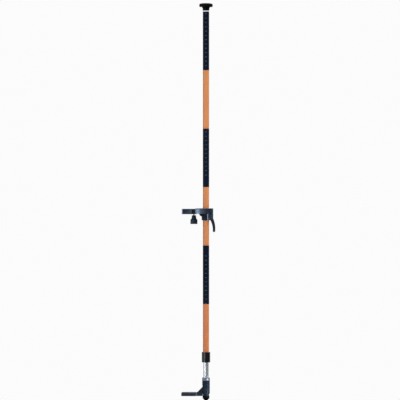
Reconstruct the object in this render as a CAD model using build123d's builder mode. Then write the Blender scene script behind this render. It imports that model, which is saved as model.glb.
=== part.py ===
from build123d import *

import math
import os

os.makedirs("parts", exist_ok=True)

# Telescopic clamping pole, stood between floor and ceiling, with a sliding instrument bracket.
# Millimetres and degrees. +Z is up, the origin is on the floor under the pole's axis, and the
# platform and the pedal point to -X. The pedal is pressed and the clamp lever is closed.

# Fits
running_clearance = 0.05  # radial, a piece that turns or slides on another
push_clearance = 0.02  # radial, pieces that are pushed together and stay so
free_clearance = 0.3  # pieces that pass each other without touching

# Pole sections
tube_diameter = 32
tube_wall = 1.5
section_length = 600
lowest_section_length = 585
band_length = 300
film_thickness = 0.25
coupler_length = 120
coupler_wall = 2

# Top end
ferrule_rim_height = 6.4
ferrule_spigot_length = 40
holder_neck_height = 18.6
holder_neck_wall = 1  # how far the neck stands out past the tube
holder_flare = 5  # how far the neck flares out under the pad
holder_disc_margin = 4  # how far the hidden disc reaches past the flare
holder_disc_thickness = 6
pad_diameter = 69.5
pad_height = 19
pad_edge_height = 15.5
pad_edge_depth = 1.8  # how far the rim bulges
pad_flat_diameter = 26
pad_screw_diameter = 8
pad_screw_length = 34
pad_screw_head_diameter = 15
countersink_angle = 90

# Telescopic joint
leg_gap = 0.5  # radial, inner tube in the lower tube
inner_wall = 1.5
inner_length = 554
shown_leg = 77.8
collar_diameter = 43.4
collar_height = 52.9
collar_floor = 2.5
collar_rounding = 1.2
bush_lip = 4
bush_wall = 2.5
bush_recess = 1
collet_height = 8
collet_wall = 3
collet_slit = 2
guide_flange_height = 12
guide_spigot_length = 25
guide_spigot_wall = 3

# Rubber foot and its piston
foot_height = 31.8
foot_tip_diameter = 16
foot_waist_diameter = 20
foot_waist_height = 12.8
foot_flange_diameter = 35.4
foot_flange_height = 12.3
foot_rounding = 2
neck_height = 10.8
piston_guide = 8.65  # length of piston inside the housing with the pedal pressed
piston_stud_diameter = 10
piston_stud_length = 17
piston_slot_depth = 5
plunger_screw_diameter = 4
plunger_screw_height = 3.9  # above the housing's lower edge
plunger_screw_tip = 3  # how far the screw reaches into the piston's slot

# Foot housing
ring_wall = 5.5
ring_height = 16
ring_chamfer = 1
ring_skirt_depth = 10
ring_skirt_wall = 2.5
housing_wall = 3.5
housing_web = 10
tube_seat_depth = 14
chamber_headroom = 2.5
drain_diameter = 14
cheek_thickness = 4
cheek_reach = 40.5
cheek_top = 80.2
cheek_tip_height = 54.5
cheek_bottom = 50
ring_screw_diameter = 5
ring_screw_head_diameter = 10.6
ring_screw_head_height = 2.6
ring_screw_rounding = 2.3
ring_screw_socket = 4  # across the flats of the hexagon
ring_screw_socket_depth = 1.3
ring_screw_height = 6  # above the ring's lower edge
ring_screw_turn = 24  # from straight ahead towards +X

# Pedal
pedal_swing = 60
foot_lift = 6
pedal_pin_diameter = 6
cam_wall = 2.5
cam_gap = 0.25
cam_width = 12
cam_side_gap = 0.5
pedal_reach = 127
pedal_bottom = 31
tread_height = 20
tread_width = 36
tread_wall = 3.5
tread_corner = 10
tread_rounding = 7
neck_gap = 0.8  # between the pedal's neck and the foot

# Bracket, heights counted from its lower edge
bracket_rise = 129.6  # above the joint of the lower and middle sections, as it is clamped here
sleeve_height = 33.4
flange_height = 28.5
platform_drop = 2.8  # platform below the clamp's top
platform_thickness = 27.7
platform_reach = 124
platform_half_width = 34
platform_corner = 6.5
platform_plate = 5
platform_wall = 5
platform_rounding = 2
platform_neck_start = 72  # where the platform narrows towards the flange
platform_neck_length = 4  # length over which it narrows
platform_neck_half_width = 28
platform_neck_rounding = 1.5
scoop_height = 21  # hollow along each long side of the platform
scoop_depth = 2.5
scoop_margin = 6  # plain side at each end of the hollow
flange_reach = 54
flange_step = 2  # flange wider than the platform where they meet
flange_half_width = 48
flange_centre = -4
flange_rounding = 2
sleeve_wall = 4.6
flare_height = 14
flare_reach = 12.7
flare_half_width = 20  # narrower than the sleeve, so the lever's block shows up to the flange
block_start = 6.2
block_half_width = 23.5
block_chamfer_length = 4.6
block_chamfer_depth = 2
block_wall = 8  # block beyond the lever's axis
clamp_lip = 3
clamp_lip_gap = 0.4

# Liner in the bracket
liner_wall = 1.25
liner_slit = 3
liner_play = 0.2
liner_ring_width = 2.25

# Clamp lever
shoe_thickness = 3.4
shoe_width = 13.6
shoe_height = 14
shoe_gap = 0.05
shoe_travel = 0.8
lever_swing = 90
lever_cam_radius = 7.5
lever_axis_height = 17.1
lever_width = 18
lever_slot_height = 32.1
lever_slot_margin = 1
lever_pin_diameter = 5
lever_tip_rounding = 4.2
lever_edge_rounding = 1.5
# Lever outline, counted from its axis: outwards to +X and downwards
lever_root_outer = (4, 1)
lever_bulge_outer = (17.1, -38.7)
lever_tip_outer = (17.7, -77.2)
lever_tip_inner = (5.6, -77.2)
lever_bulge_inner = (4.4, -49)
lever_root_inner = (-7.3, -16)
lever_root_top = (-4.6, -4)

# Instrument screw under the platform
screw_axis = -62
screw_diameter = 6.35
screw_recess = 0.5
screw_lift = 6
screw_slide = 40  # travel of the screw along the platform's slot
screw_grip = 23  # length of screw inside the knob
slider_diameter = 13
slider_flange_width = 1.1  # flange beyond the slider's body
slider_flange_thickness = 2.5
slider_top_recess = 0.2
slider_bottom_recess = 2
slider_wall = 1
rail_wall = 3
washer_margin = 0.5  # washer inside the slider's outline
washer_thickness = 2
clip_thickness = 1
clip_opening = 4
clip_play = 0.5
knob_height = 44.1
knob_diameter = 36.4
knob_grip_height = 23
knob_shoulder_diameter = 24
knob_shoulder_height = 12
knob_top_diameter = 21
knob_rounding = 1.5
knob_flutes = 12
knob_flute_diameter = 5
knob_flute_depth = 0.8

# Radii that follow from the fits
tube_radius = tube_diameter / 2
tube_bore = tube_radius - tube_wall
pole_radius = tube_radius + film_thickness
inner_radius = tube_bore - leg_gap
inner_bore = inner_radius - inner_wall
coupler_radius = tube_bore - running_clearance
collar_radius = collar_diameter / 2
bush_outer = tube_radius + bush_wall
housing_radius = inner_radius + ring_wall
skirt_radius = inner_radius + ring_skirt_wall
chamber_radius = housing_radius - housing_wall
piston_radius = chamber_radius - running_clearance
liner_bore = pole_radius + 2 * running_clearance
liner_radius = liner_bore + liner_wall
clamp_bore = liner_radius + 2 * running_clearance
sleeve_radius = clamp_bore + sleeve_wall

# Cam of the pedal: an eccentric disc whose lift is even over the pedal's swing
cam_offset = foot_lift / (2 * math.sin(math.radians(pedal_swing / 2)))
cam_start = math.radians(90 - pedal_swing / 2)
cam_radius = cam_offset + pedal_pin_diameter / 2 + cam_wall

# Levels above the floor
housing_bottom = foot_height + neck_height
piston_top = housing_bottom + piston_guide
pedal_axis = piston_top + cam_gap + cam_radius + cam_offset * math.cos(cam_start)
cam_x = -cam_offset * math.sin(cam_start)
cam_z = pedal_axis - cam_offset * math.cos(cam_start)
chamber_top = pedal_axis + cam_offset + cam_radius + chamber_headroom
inner_bottom = chamber_top + housing_web
housing_top = inner_bottom + tube_seat_depth
inner_top = inner_bottom + inner_length
ring_top = housing_top + ring_height
collar_bottom = ring_top + shown_leg
collar_top = collar_bottom + collar_height
collet_bottom = collar_bottom + collar_floor
bush_bottom = collet_bottom + collet_height
tube_bottom = bush_bottom + bush_lip
lower_joint = tube_bottom + lowest_section_length
middle_joint = lower_joint + section_length
tube_top = middle_joint + section_length
ferrule_top = tube_top + ferrule_rim_height
pad_bottom = ferrule_top + holder_neck_height
pad_top = pad_bottom + pad_height
holder_top = pad_bottom + holder_disc_thickness
bracket_bottom = lower_joint + bracket_rise
flange_bottom = bracket_bottom + sleeve_height
bracket_top = flange_bottom + flange_height
platform_top = bracket_top - platform_drop
platform_bottom = platform_top - platform_thickness
lever_axis_z = bracket_bottom + lever_axis_height


def keep(piece, name):
    """Label a finished piece and write it as its own file."""
    piece.part.label = name
    export_step(piece.part, f"parts/{name}.step")


def make_tube(bottom, length, outer_radius, inner_radius):
    """A plain upright tube on the pole's axis."""
    with BuildPart() as tube:
        with BuildSketch(Plane.XY.offset(bottom)):
            Circle(outer_radius)
            Circle(inner_radius, mode=Mode.SUBTRACT)
        extrude(amount=length)
    return tube


def make_cross_pin(x, z, radius, length):
    """A plain round pin across the part, along Y."""
    with BuildPart() as pin:
        with BuildSketch(Plane.XZ):
            with Locations((x, z)):
                Circle(radius)
        extrude(amount=length / 2, both=True)
    return pin


# Pole sections, each with a black film round its upper half
sections = {
    "lower": (tube_bottom, lowest_section_length),
    "middle": (lower_joint, section_length),
    "upper": (middle_joint, section_length),
}
for place, (bottom, length) in sections.items():
    keep(make_tube(bottom, length, tube_radius, tube_bore), f"{place}_tube")
    band_bottom = bottom + length - band_length
    keep(make_tube(band_bottom, band_length, pole_radius, tube_radius), f"{place}_band")

for place, joint in {"lower": lower_joint, "upper": middle_joint}.items():
    coupler_bottom = joint - coupler_length / 2
    coupler = make_tube(coupler_bottom, coupler_length, coupler_radius, coupler_radius - coupler_wall)
    keep(coupler, f"{place}_coupler")

# Top end: ferrule, flared neck, its screw, and the ceiling pad
with BuildPart() as top_ferrule:
    with BuildSketch(Plane.XY.offset(tube_top - ferrule_spigot_length)):
        Circle(coupler_radius)
    extrude(amount=ferrule_spigot_length)
    with BuildSketch(Plane.XY.offset(tube_top)):
        Circle(pole_radius)
    extrude(amount=ferrule_rim_height)
    with BuildSketch(Plane.XY.offset(ferrule_top)):
        Circle(pad_screw_diameter / 2 + push_clearance)
    extrude(amount=-ferrule_rim_height - ferrule_spigot_length, mode=Mode.SUBTRACT)
keep(top_ferrule, "top_ferrule")

neck_radius = pole_radius + holder_neck_wall
flare_radius = neck_radius + holder_flare
disc_radius = flare_radius + holder_disc_margin
with BuildPart() as pad_holder:
    with BuildSketch(Plane.XZ):
        with BuildLine():
            Line((0, ferrule_top), (pole_radius, ferrule_top))
            Line((pole_radius, ferrule_top), (neck_radius, ferrule_top + holder_neck_height / 3))
            flare_start = (neck_radius, ferrule_top + holder_neck_height / 3)
            TangentArc(flare_start, (flare_radius, pad_bottom), tangent=(0, 1))
            Line((flare_radius, pad_bottom), (disc_radius, pad_bottom))
            Line((disc_radius, pad_bottom), (disc_radius, holder_top))
            Line((disc_radius, holder_top), (0, holder_top))
            Line((0, holder_top), (0, ferrule_top))
        make_face()
    revolve(axis=Axis.Z)
    with Locations((0, 0, holder_top)):
        CounterSinkHole(
            pad_screw_diameter / 2 + push_clearance,
            pad_screw_head_diameter / 2 + push_clearance,
            counter_sink_angle=countersink_angle,
        )
keep(pad_holder, "pad_holder")

head_cone = (pad_screw_head_diameter - pad_screw_diameter) / 2
head_cone_height = head_cone / math.tan(math.radians(countersink_angle / 2))
with BuildPart() as pad_screw:
    with BuildSketch(Plane.XZ):
        with BuildLine():
            Polyline(
                (0, holder_top),
                (pad_screw_head_diameter / 2, holder_top),
                (pad_screw_diameter / 2, holder_top - head_cone_height),
                (pad_screw_diameter / 2, holder_top - pad_screw_length),
                (0, holder_top - pad_screw_length),
                close=True,
            )
        make_face()
    revolve(axis=Axis.Z)
keep(pad_screw, "pad_screw")

pad_radius = pad_diameter / 2
with BuildPart() as ceiling_pad:
    with BuildSketch(Plane.XZ):
        with BuildLine():
            rim_low = (pad_radius - pad_edge_depth, pad_bottom)
            rim_middle = (pad_radius, pad_bottom + pad_edge_height / 2)
            rim_high = (pad_radius - pad_edge_depth, pad_bottom + pad_edge_height)
            crown = (pad_flat_diameter / 2, pad_top)
            Line((0, pad_bottom), rim_low)
            ThreePointArc(rim_low, rim_middle, rim_high)
            TangentArc(crown, rim_high, tangent=(1, 0))
            Line(crown, (0, pad_top))
            Line((0, pad_top), (0, pad_bottom))
        make_face()
    revolve(axis=Axis.Z)
    with BuildSketch(Plane.XY.offset(pad_bottom)):
        Circle(disc_radius + push_clearance)
    extrude(amount=holder_disc_thickness, mode=Mode.SUBTRACT)
keep(ceiling_pad, "ceiling_pad")

# Telescopic joint: bush on the lower tube, split collet, screw collar
with BuildPart() as collar_bush:
    with BuildSketch(Plane.XY.offset(bush_bottom)):
        Circle(bush_outer)
        Circle(inner_radius + free_clearance, mode=Mode.SUBTRACT)
    extrude(amount=bush_lip)
    with BuildSketch(Plane.XY.offset(tube_bottom)):
        Circle(bush_outer)
        Circle(tube_radius + push_clearance, mode=Mode.SUBTRACT)
    extrude(amount=collar_top - bush_recess - tube_bottom)
keep(collar_bush, "collar_bush")

with BuildPart() as collet:
    with BuildSketch(Plane.XY.offset(collet_bottom)):
        Circle(inner_radius + collet_wall)
        Circle(inner_radius + running_clearance, mode=Mode.SUBTRACT)
        Rectangle(
            collet_slit,
            inner_radius + collet_wall,
            align=(Align.CENTER, Align.MIN),
            mode=Mode.SUBTRACT,
        )
    extrude(amount=collet_height)
keep(collet, "collet")

with BuildPart() as lock_collar:
    with BuildSketch(Plane.XY.offset(collar_bottom)):
        Circle(collar_radius)
    extrude(amount=collar_height)
    rims = lock_collar.edges().filter_by(GeomType.CIRCLE)
    fillet(rims, collar_rounding)
    with BuildSketch(Plane.XY.offset(collet_bottom)):
        Circle(bush_outer + 2 * running_clearance)
    extrude(amount=collar_height, mode=Mode.SUBTRACT)
    with BuildSketch(Plane.XY.offset(collar_bottom)):
        Circle(inner_radius + free_clearance)
    extrude(amount=collar_floor, mode=Mode.SUBTRACT)
keep(lock_collar, "lock_collar")

# Inner tube with the holes of the ring's screws, and its guide plug
ring_screw_level = housing_top + ring_screw_height
ring_screw_planes = []
for turn in (ring_screw_turn, ring_screw_turn + 180):
    outwards = (math.sin(math.radians(turn)), -math.cos(math.radians(turn)), 0)
    ring_screw_planes.append(Plane(origin=(0, 0, ring_screw_level), z_dir=outwards))
ring_screw_seat = math.sqrt(housing_radius**2 - (ring_screw_head_diameter / 2) ** 2)

with BuildPart() as inner_tube:
    with BuildSketch(Plane.XY.offset(inner_bottom)):
        Circle(inner_radius)
        Circle(inner_bore, mode=Mode.SUBTRACT)
    extrude(amount=inner_length)
    with BuildSketch(*ring_screw_planes):
        Circle(ring_screw_diameter / 2 + push_clearance)
    extrude(amount=inner_radius, mode=Mode.SUBTRACT)
keep(inner_tube, "inner_tube")

with BuildPart() as tube_guide:
    with BuildSketch(Plane.XY.offset(inner_top - guide_spigot_length)):
        Circle(inner_bore - push_clearance)
    extrude(amount=guide_spigot_length)
    with BuildSketch(Plane.XY.offset(inner_top)):
        Circle(tube_bore - running_clearance)
    extrude(amount=guide_flange_height)
    with BuildSketch(Plane.XY.offset(inner_top - guide_spigot_length)):
        Circle(inner_bore - push_clearance - guide_spigot_wall)
    extrude(amount=guide_spigot_length + guide_flange_height, mode=Mode.SUBTRACT)
keep(tube_guide, "tube_guide")

# Foot: rubber tip, piston, ring and housing
with BuildPart() as foot_tip:
    with BuildSketch(Plane.XZ):
        with BuildLine():
            outline = FilletPolyline(
                (0, 0),
                (foot_tip_diameter / 2, 0),
                (foot_waist_diameter / 2, foot_waist_height),
                (foot_flange_diameter / 2, foot_height - foot_flange_height),
                (foot_flange_diameter / 2, foot_height),
                (0, foot_height),
                radius=[foot_rounding / 2, foot_rounding, foot_rounding, foot_rounding / 2],
            )
            Line(outline @ 1, outline @ 0)
        make_face()
    revolve(axis=Axis.Z)
    with BuildSketch(Plane.XY.offset(foot_height)):
        Circle(piston_stud_diameter / 2 + push_clearance)
    extrude(amount=-piston_stud_length, mode=Mode.SUBTRACT)
keep(foot_tip, "foot_tip")

plunger_screw_level = housing_bottom + plunger_screw_height
slot_end_room = plunger_screw_diameter / 2 + free_clearance
with BuildPart() as foot_plunger:
    with BuildSketch(Plane.XY.offset(foot_height)):
        Circle(piston_radius)
    extrude(amount=piston_top - foot_height)
    with BuildSketch(Plane.XY.offset(foot_height)):
        Circle(piston_stud_diameter / 2)
    extrude(amount=-piston_stud_length)
    slot_bottom = plunger_screw_level - foot_lift - slot_end_room
    slot_top = plunger_screw_level + slot_end_room
    with BuildSketch(Plane.XY.offset(slot_bottom)):
        with Locations((0, piston_radius)):
            Rectangle(2 * slot_end_room, 2 * piston_slot_depth)
    extrude(amount=slot_top - slot_bottom, mode=Mode.SUBTRACT)
keep(foot_plunger, "foot_plunger")

with BuildPart() as plunger_screw:
    with BuildSketch(Plane.XZ.offset(-housing_radius)):
        with Locations((0, plunger_screw_level)):
            Circle(plunger_screw_diameter / 2)
    extrude(amount=housing_radius - chamber_radius + plunger_screw_tip)
keep(plunger_screw, "plunger_screw")

with BuildPart() as foot_ring:
    with BuildSketch(Plane.XY.offset(housing_top)):
        Circle(housing_radius)
    extrude(amount=ring_height)
    chamfer(foot_ring.edges().group_by(Axis.Z)[-1], ring_chamfer)
    with BuildSketch(Plane.XY.offset(housing_top)):
        Circle(skirt_radius)
    extrude(amount=-ring_skirt_depth)
    with BuildSketch(Plane.XY.offset(housing_top - ring_skirt_depth)):
        Circle(inner_radius + push_clearance)
    extrude(amount=ring_skirt_depth + ring_height, mode=Mode.SUBTRACT)
    with BuildSketch(*ring_screw_planes):
        Circle(ring_screw_diameter / 2 + push_clearance)
    extrude(amount=housing_radius, mode=Mode.SUBTRACT)
    with BuildSketch(*[plane.offset(ring_screw_seat) for plane in ring_screw_planes]):
        Circle(ring_screw_head_diameter / 2 + push_clearance)
    extrude(amount=ring_wall, mode=Mode.SUBTRACT)
keep(foot_ring, "foot_ring")

with BuildPart() as ring_screws:
    with BuildSketch(*[plane.offset(ring_screw_seat) for plane in ring_screw_planes]):
        Circle(ring_screw_head_diameter / 2)
    extrude(amount=ring_screw_head_height)
    outer_rims = ring_screws.edges().filter_by(GeomType.CIRCLE).sort_by(
        lambda rim: Vector(rim.arc_center.X, rim.arc_center.Y, 0).length
    )[-2:]
    fillet(outer_rims, ring_screw_rounding)
    head_top = ring_screw_seat + ring_screw_head_height
    with BuildSketch(*[plane.offset(head_top) for plane in ring_screw_planes]):
        RegularPolygon(ring_screw_socket / 2, 6, major_radius=False)
    extrude(amount=-ring_screw_socket_depth, mode=Mode.SUBTRACT)
    with BuildSketch(*[plane.offset(inner_bore) for plane in ring_screw_planes]):
        Circle(ring_screw_diameter / 2)
    extrude(amount=ring_screw_seat - inner_bore)
keep(ring_screws, "ring_screws")

# The pedal's outline, hub and neck, seen from the front
tread_top = pedal_bottom + tread_height
cheek_swing = math.hypot(cheek_reach, pedal_axis - cheek_bottom)
tread_inner = cheek_swing + free_clearance
neck_inner = piston_radius + neck_gap
neck_step_x = max(foot_flange_diameter / 2, piston_radius) + neck_gap
neck_step_z = foot_height + neck_gap
neck_upper_start = (cam_x, cam_z + cam_radius / 2)
neck_upper_end = (-tread_inner - tread_wall, tread_top)


def raised(point):
    """Where a point of the pedal lies when the pedal is swung up."""
    angle = math.radians(pedal_swing)
    x = point[0]
    z = point[1] - pedal_axis
    turned_x = x * math.cos(angle) + z * math.sin(angle)
    turned_z = z * math.cos(angle) - x * math.sin(angle)
    return turned_x, turned_z + pedal_axis


# The housing's slot is as tall as the raised neck needs
raised_start = raised(neck_upper_start)
raised_end = raised(neck_upper_end)
neck_slope = (raised_end[1] - raised_start[1]) / (raised_end[0] - raised_start[0])
housing_slot_top = raised_start[1] - (housing_radius + raised_start[0]) * neck_slope + 2 * free_clearance
slot_width = cam_width + 2 * cam_side_gap

with BuildPart() as foot_housing:
    with BuildSketch(Plane.XY.offset(housing_bottom)):
        Circle(housing_radius)
    extrude(amount=housing_top - housing_bottom)
    for side in (-1, 1):
        cheek_plane = Plane.XZ.offset(side * (slot_width + cheek_thickness) / 2)
        with BuildSketch(cheek_plane):
            with BuildLine():
                Polyline(
                    (-chamber_radius, cheek_bottom),
                    (-cheek_reach, cheek_bottom),
                    (-cheek_reach, cheek_tip_height),
                    (-chamber_radius, cheek_top),
                    close=True,
                )
            make_face()
        extrude(amount=cheek_thickness / 2, both=True)
    with BuildSketch(Plane.XY.offset(housing_bottom)):
        Circle(chamber_radius)
    extrude(amount=chamber_top - housing_bottom, mode=Mode.SUBTRACT)
    with BuildSketch(Plane.XY.offset(chamber_top)):
        Circle(drain_diameter / 2)
    extrude(amount=housing_web, mode=Mode.SUBTRACT)
    with BuildSketch(Plane.XY.offset(inner_bottom)):
        Circle(inner_radius + push_clearance)
    extrude(amount=tube_seat_depth, mode=Mode.SUBTRACT)
    with BuildSketch(Plane.XY.offset(housing_top - ring_skirt_depth)):
        Circle(skirt_radius + push_clearance)
    extrude(amount=ring_skirt_depth, mode=Mode.SUBTRACT)
    with BuildSketch(Plane.XY.offset(housing_bottom)):
        Rectangle(cheek_reach + housing_radius, slot_width, align=(Align.MAX, Align.CENTER))
    extrude(amount=housing_slot_top - housing_bottom, mode=Mode.SUBTRACT)
    with BuildSketch(Plane.XZ):
        with Locations((0, pedal_axis)):
            Circle(pedal_pin_diameter / 2 + push_clearance)
    extrude(amount=housing_radius, both=True, mode=Mode.SUBTRACT)
    with BuildSketch(Plane.XZ.offset(-housing_radius)):
        with Locations((0, plunger_screw_level)):
            Circle(plunger_screw_diameter / 2 + push_clearance)
    extrude(amount=housing_radius, mode=Mode.SUBTRACT)
keep(foot_housing, "foot_housing")

keep(make_cross_pin(0, pedal_axis, pedal_pin_diameter / 2, 2 * housing_radius), "pedal_pin")

with BuildPart() as pedal:
    tread_length = pedal_reach - tread_inner
    with BuildSketch(Plane.XY.offset(pedal_bottom)):
        with Locations((-tread_inner - tread_length / 2, 0)):
            RectangleRounded(tread_length, tread_width, tread_corner)
    extrude(amount=tread_height)
    fillet(pedal.edges().group_by(Axis.Z)[-1], tread_rounding)
    with BuildSketch(Plane.XY.offset(pedal_bottom)):
        with Locations((-tread_inner - tread_length / 2, 0)):
            RectangleRounded(
                tread_length - 2 * tread_wall,
                tread_width - 2 * tread_wall,
                tread_corner - tread_wall,
            )
    extrude(amount=tread_height - tread_rounding - tread_wall, mode=Mode.SUBTRACT)
    with BuildSketch(Plane.XZ):
        with BuildLine():
            Polyline(
                (-tread_inner - tread_wall, pedal_bottom),
                (-neck_step_x, pedal_bottom),
                (-neck_step_x, neck_step_z),
                (-neck_inner, neck_step_z),
                (-neck_inner, piston_top),
                (cam_x, cam_z - cam_radius / 2),
                neck_upper_start,
                neck_upper_end,
                close=True,
            )
        make_face()
        with Locations((cam_x, cam_z)):
            Circle(cam_radius)
        with Locations((0, pedal_axis)):
            Circle(pedal_pin_diameter / 2 + running_clearance, mode=Mode.SUBTRACT)
    extrude(amount=cam_width / 2, both=True)
keep(pedal, "pedal")

# Liner round the pole, its ring, and the bracket that swivels on it
liner_bottom = bracket_bottom + clamp_lip + liner_play
liner_top = bracket_top - clamp_lip - liner_play
with BuildPart() as pole_liner:
    with BuildSketch(Plane.XY.offset(liner_bottom)):
        Circle(liner_radius)
        Circle(liner_bore, mode=Mode.SUBTRACT)
        Rectangle(liner_radius, liner_slit, align=(Align.MAX, Align.CENTER), mode=Mode.SUBTRACT)
    extrude(amount=liner_top - liner_bottom)
keep(pole_liner, "pole_liner")

lip_bore = pole_radius + clamp_lip_gap
ring_outer = lip_bore + liner_ring_width
keep(make_tube(bracket_bottom, clamp_lip, ring_outer, lip_bore), "liner_ring")

shoe_face = liner_radius + running_clearance + shoe_thickness
shoe_bottom = lever_axis_z - shoe_height / 2
lever_offset = shoe_travel / (2 * math.sin(math.radians(lever_swing / 2)))
lever_start = math.radians(lever_swing / 2)
lever_axis_x = shoe_face + shoe_gap + lever_cam_radius + lever_offset * math.sin(lever_start)
lever_slot_start = shoe_face - lever_slot_margin
block_end = lever_axis_x + block_wall

platform_end = -flange_reach + platform_corner
slider_radius = slider_diameter / 2
slider_top = platform_top - slider_top_recess
slider_ledge = slider_top - slider_flange_thickness
slider_bottom = platform_bottom + slider_bottom_recess
slot_width_below = slider_diameter + 2 * running_clearance
slot_width_above = slider_diameter + 2 * (slider_flange_width + free_clearance)
slot_centre = screw_axis - screw_slide / 2
neck_corner_x = platform_neck_length - platform_neck_start
with BuildSketch() as platform_outline:
    with BuildLine():
        corner_start = (-platform_reach, platform_corner - platform_half_width)
        corner_end = (platform_corner - platform_reach, -platform_half_width)
        side_end = (-platform_neck_start, -platform_half_width)
        neck_corner = (neck_corner_x, -platform_neck_half_width)
        neck_end = (platform_end, -platform_neck_half_width)
        Line((-platform_reach, 0), corner_start)
        TangentArc(corner_start, corner_end, tangent=(0, -1))
        Polyline(corner_end, side_end, neck_corner, neck_end, (platform_end, 0))
        mirror(about=Plane.XZ)
    make_face()
    neck_corners = platform_outline.vertices().filter_by(
        lambda corner: -platform_neck_start - free_clearance < corner.X < neck_corner_x + free_clearance
    )
    fillet(neck_corners, platform_neck_rounding)

scoop_half_length = (platform_reach - platform_corner - platform_neck_start) / 2 + scoop_margin / 2
scoop_radius = (scoop_half_length**2 + scoop_depth**2) / (2 * scoop_depth)
scoop_x = scoop_half_length - scoop_margin / 2 - platform_reach + platform_corner
scoop_bottom = platform_bottom + (platform_thickness - scoop_height) / 2
# Rib that flares out from the sleeve to the flange
flare_bottom = flange_bottom - flare_height
flare_rim_radius = sleeve_radius + flare_reach
with BuildPart() as flare:
    with BuildSketch(Plane.XZ):
        with BuildLine():
            Line((0, flare_bottom), (sleeve_radius, flare_bottom))
            TangentArc((flare_rim_radius, flange_bottom), (sleeve_radius, flare_bottom), tangent=(0, -1))
            Line((flare_rim_radius, flange_bottom), (0, flange_bottom))
            Line((0, flange_bottom), (0, flare_bottom))
        make_face()
    revolve(axis=Axis.Z)
    with BuildSketch(Plane.XY.offset(flare_bottom)):
        Rectangle(2 * flare_rim_radius, 2 * flare_half_width)
    extrude(amount=flare_height, mode=Mode.INTERSECT)

with BuildPart() as bracket:
    # Platform with a neck, and a shallow hollow along each long side
    with BuildSketch(Plane.XY.offset(platform_bottom)):
        add(platform_outline.sketch)
    extrude(amount=platform_thickness)
    fillet(bracket.edges().group_by(Axis.Z)[-1], platform_rounding)
    fillet(bracket.edges().group_by(Axis.Z)[0], platform_rounding)
    with BuildSketch(Plane.XY.offset(scoop_bottom)):
        for side in (-1, 1):
            with Locations((scoop_x, side * (platform_half_width + scoop_radius - scoop_depth))):
                Circle(scoop_radius)
    extrude(amount=scoop_height, mode=Mode.SUBTRACT)
    # Wider clamp flange, with a rounded front and back
    with BuildSketch(Plane.XY.offset(flange_bottom)):
        with BuildLine():
            crest = (flange_centre, -flange_half_width)
            shoulder = (-flange_reach, -platform_half_width - flange_step)
            block_corner = (block_end, -block_half_width)
            Line((-flange_reach, 0), shoulder)
            TangentArc(crest, shoulder, tangent=(-1, 0))
            TangentArc(crest, block_corner, tangent=(1, 0))
            Line(block_corner, (block_end, 0))
            mirror(about=Plane.XZ)
        make_face()
    extrude(amount=flange_height)
    flange_edges = bracket.edges().filter_by_position(Axis.Z, bracket_top, bracket_top)
    fillet(flange_edges, flange_rounding)
    # Sleeve round the pole with its flared rib, and the lever's block
    with BuildSketch(Plane.XY.offset(bracket_bottom)):
        Circle(sleeve_radius)
    extrude(amount=sleeve_height)
    add(flare.part)
    with BuildSketch(Plane.XY.offset(bracket_bottom)):
        with BuildLine():
            chamfer_start = (block_start, -block_half_width + block_chamfer_depth)
            chamfer_end = (block_start + block_chamfer_length, -block_half_width)
            Polyline((block_start, 0), chamfer_start, chamfer_end, block_corner, (block_end, 0))
            mirror(about=Plane.XZ)
        make_face()
    extrude(amount=sleeve_height)
    # Bore for the liner, with a lip above and a seat for the ring below
    with BuildSketch(Plane.XY.offset(bracket_bottom)):
        Circle(ring_outer + push_clearance)
    extrude(amount=clamp_lip, mode=Mode.SUBTRACT)
    with BuildSketch(Plane.XY.offset(bracket_bottom)):
        Circle(clamp_bore)
    extrude(amount=bracket_top - clamp_lip - bracket_bottom, mode=Mode.SUBTRACT)
    with BuildSketch(Plane.XY.offset(bracket_bottom)):
        Circle(lip_bore)
    extrude(amount=bracket_top - bracket_bottom, mode=Mode.SUBTRACT)
    # Slot of the lever, window of the shoe, hole of the pin
    with BuildSketch(Plane.XY.offset(bracket_bottom)):
        with Locations((lever_slot_start, 0)):
            Rectangle(
                block_end - lever_slot_start,
                lever_width + 2 * free_clearance,
                align=(Align.MIN, Align.CENTER),
            )
    extrude(amount=lever_slot_height, mode=Mode.SUBTRACT)
    with BuildSketch(Plane.XY.offset(shoe_bottom - free_clearance)):
        Rectangle(
            lever_slot_start,
            shoe_width + 2 * free_clearance,
            align=(Align.MIN, Align.CENTER),
        )
    extrude(amount=shoe_height + 2 * free_clearance, mode=Mode.SUBTRACT)
    with BuildSketch(Plane.XZ):
        with Locations((lever_axis_x, lever_axis_z)):
            Circle(lever_pin_diameter / 2 + push_clearance)
    extrude(amount=block_half_width, both=True, mode=Mode.SUBTRACT)
    # Hollow under the platform, round the rails of the screw's slot
    with BuildSketch(Plane.XY.offset(platform_bottom)):
        add(platform_outline.sketch)
        offset(amount=-platform_wall, mode=Mode.REPLACE)
        with Locations((slot_centre, 0)):
            SlotCenterToCenter(screw_slide, slot_width_below + 2 * rail_wall, mode=Mode.SUBTRACT)
    extrude(amount=platform_thickness - platform_plate, mode=Mode.SUBTRACT)
    with BuildSketch(Plane.XY.offset(platform_bottom)):
        with Locations((slot_centre, 0)):
            SlotCenterToCenter(screw_slide, slot_width_below)
    extrude(amount=platform_thickness, mode=Mode.SUBTRACT)
    with BuildSketch(Plane.XY.offset(slider_ledge)):
        with Locations((slot_centre, 0)):
            SlotCenterToCenter(screw_slide, slot_width_above)
    extrude(amount=platform_top - slider_ledge, mode=Mode.SUBTRACT)
keep(bracket, "bracket")

with BuildPart() as clamp_shoe:
    with BuildSketch(Plane.XY.offset(shoe_bottom)):
        Rectangle(shoe_face, shoe_width, align=(Align.MIN, Align.CENTER))
        Circle(liner_radius + running_clearance, mode=Mode.SUBTRACT)
    extrude(amount=shoe_height)
keep(clamp_shoe, "clamp_shoe")


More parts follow.
